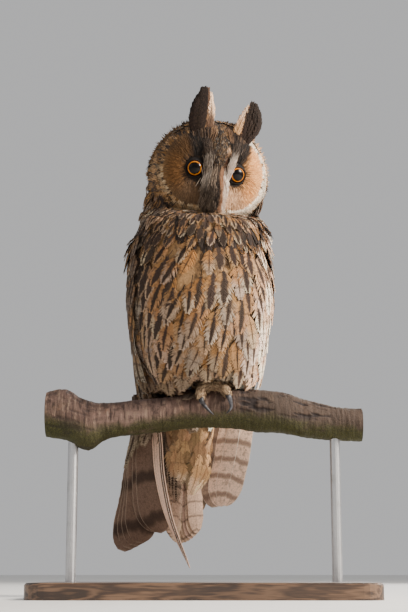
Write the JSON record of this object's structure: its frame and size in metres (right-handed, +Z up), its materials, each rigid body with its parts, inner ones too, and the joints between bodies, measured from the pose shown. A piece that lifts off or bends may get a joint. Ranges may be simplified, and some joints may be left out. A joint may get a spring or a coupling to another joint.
{
  "type": "long-eared owl",
  "caption": "Life-size perched long-eared owl with raised ear tufts, looking down and forward, on a short cut branch held by a plain display stand.",
  "frame": {"origin": "middle of the underside of the display stand's base, on the table", "axes": "+Z up, X along the branch with the bird's left on +X, the bird faces -Y and is turned 20 degrees towards +X"},
  "size_m": [0.256, 0.172, 0.3938],
  "materials": {
    "breast": "matte",
    "head_plumage": "matte",
    "wing_plumage": "matte",
    "tail_plumage": "matte",
    "tuft": "matte",
    "eye": "glossy",
    "horn": "satin",
    "toe": "matte",
    "bark": "rough",
    "base": "satin",
    "rod": "satin"
  },
  "bodies": {
    "root": {"torso": "breast", "neck": "breast", "head": "head_plumage", "ear_tuft_left": "tuft", "ear_tuft_right": "tuft", "eye_left": "eye", "eye_right": "eye", "bill_upper": "horn", "bill_lower": "horn", "wing_left": "wing_plumage", "wing_right": "wing_plumage", "tail": "tail_plumage", "leg_left": "toe", "leg_right": "toe", "foot_left": "toe", "foot_right": "toe", "claw_left_hind": "horn", "claw_left_inner": "horn", "claw_left_middle": "horn", "claw_left_outer": "horn", "claw_right_1": "horn", "claw_right_2": "horn", "claw_right_3": "horn", "perch": "bark", "stand_base": "base", "stand_rod_left": "rod", "stand_rod_right": "rod"}
  },
  "joints": []
}
